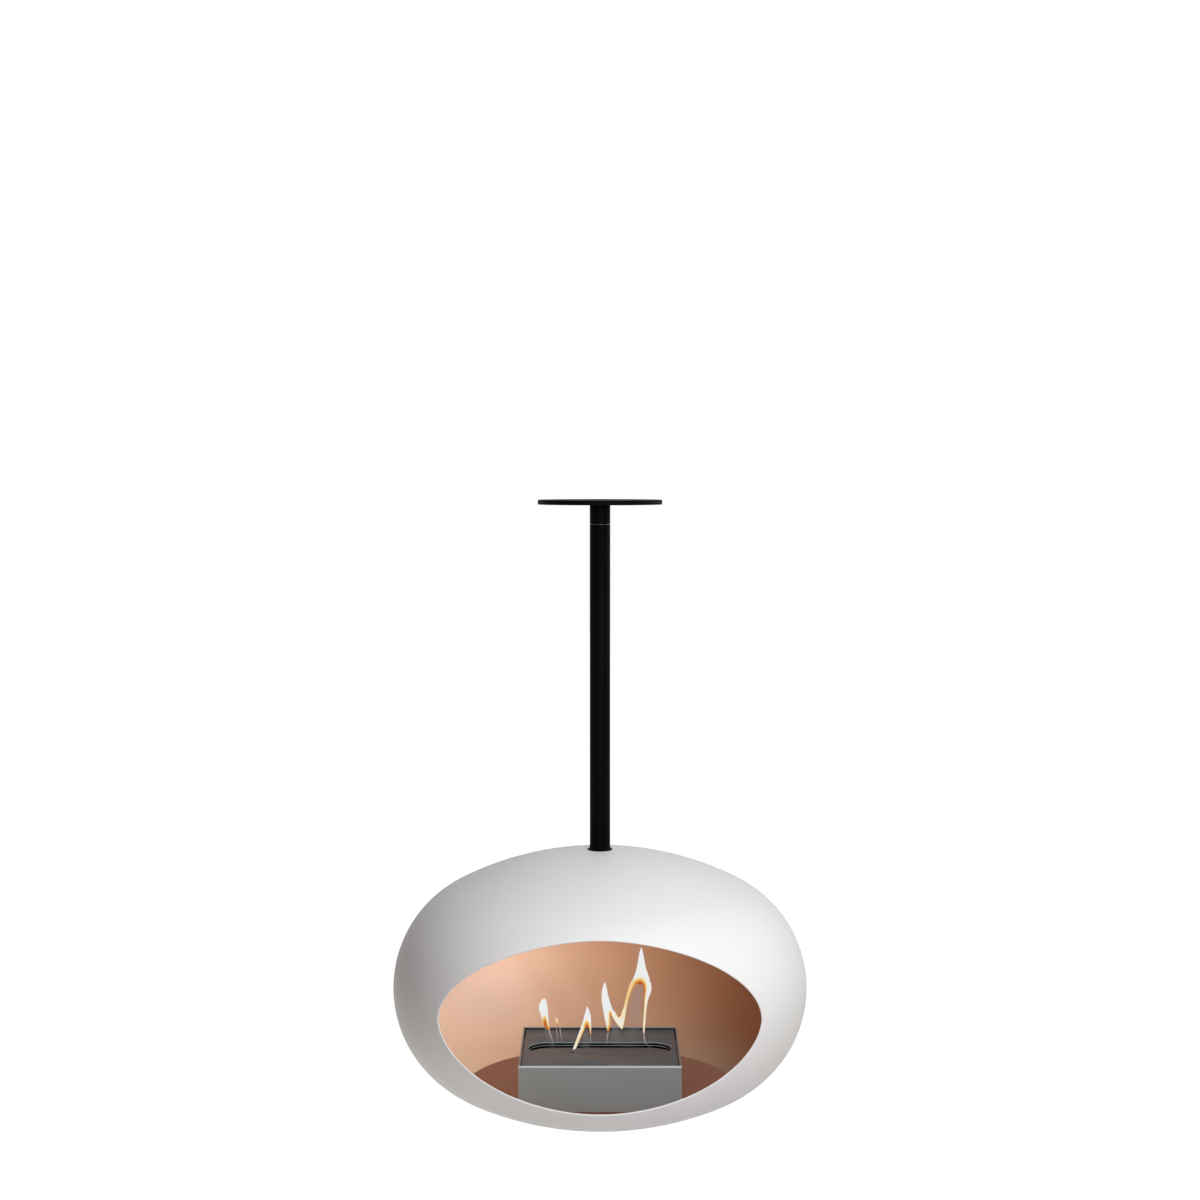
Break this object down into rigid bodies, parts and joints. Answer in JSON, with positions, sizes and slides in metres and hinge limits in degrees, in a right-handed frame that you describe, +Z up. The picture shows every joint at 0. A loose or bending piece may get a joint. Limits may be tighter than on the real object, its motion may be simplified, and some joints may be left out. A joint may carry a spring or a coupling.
{
  "type": "hanging fireplace",
  "caption": "Oval steel hood that hangs from a ceiling pole and turns on it, with a wide front mouth and a lift-out liquid-fuel burner with a sliding damper.",
  "frame": {"origin": "centre of the ceiling plate's upper face, in the plane of the ceiling", "axes": "+Z up along the pole, -Y towards the mouth of the hood, +X to the right as seen from the front"},
  "size_m": [0.67, 0.613, 1.0075],
  "materials": {
    "black_coat": "matt black powder coat",
    "white_coat": "fine matt white powder coat",
    "copper_finish": "satin copper finish",
    "grey_coat": "satin warm grey heat-proof coat",
    "turned_steel": "turned and welded steel",
    "zinc_steel": "bright zinc plate",
    "bronze": "sintered bronze",
    "glide_plastic": "black acetal",
    "pad_rubber": "black silicone rubber",
    "tank_steel": "brushed stainless steel",
    "ceramic_wool": "white ceramic fibre",
    "heat_black": "heat-blackened steel"
  },
  "bodies": {
    "ceiling_mount": {"ceiling_plate": "black_coat", "ceiling_stub": "black_coat", "stub_boss": "turned_steel", "swivel_bush": "bronze"},
    "hood": {"hanger_bolt": "zinc_steel", "thrust_washer": "zinc_steel", "hanger_nut": "zinc_steel", "glide_washer": "glide_plastic", "pole": "black_coat", "pole_top_plug": "turned_steel", "pole_bottom_plug": "turned_steel", "top_collar": "black_coat", "outer_shell": "white_coat", "inner_liner": "copper_finish", "reinforcing_dish": "zinc_steel", "hood_washer": "zinc_steel", "spring_washer": "zinc_steel", "hood_screw": "zinc_steel", "floor_plate": "copper_finish"},
    "housing": {"burner_housing": "grey_coat", "housing_feet": "pad_rubber", "ledge_left": "turned_steel", "ledge_right": "turned_steel"},
    "tank": {"tank_body": "tank_steel", "tank_lid": "grey_coat", "wool_pad": "ceramic_wool", "wool_grid": "heat_black", "damper_rail_left": "grey_coat", "damper_rail_right": "grey_coat"},
    "top_cover": {"top_plate": "grey_coat"},
    "damper_plate": {"damper": "grey_coat"}
  },
  "joints": [
    {"name": "swivel", "type": "hinge", "parent": "ceiling_mount", "child": "hood", "pos_m": [0, 0, -0.03], "axis": [0, 0, 1], "continuous": true},
    {"name": "burner_out", "type": "slide", "parent": "hood", "child": "housing", "axis": [0, -0.8746, 0.4848], "range_m": [0, 0.42]},
    {"name": "tank_lift", "type": "slide", "parent": "housing", "child": "tank", "axis": [0, 0, 1], "range_m": [0, 0.085]},
    {"name": "plate_lift", "type": "slide", "parent": "tank", "child": "top_cover", "axis": [0, 0, 1], "range_m": [0, 0.06]},
    {"name": "damper_slide", "type": "slide", "parent": "tank", "child": "damper_plate", "axis": [0, 1, 0], "range_m": [-0.043, 0.026]}
  ]
}
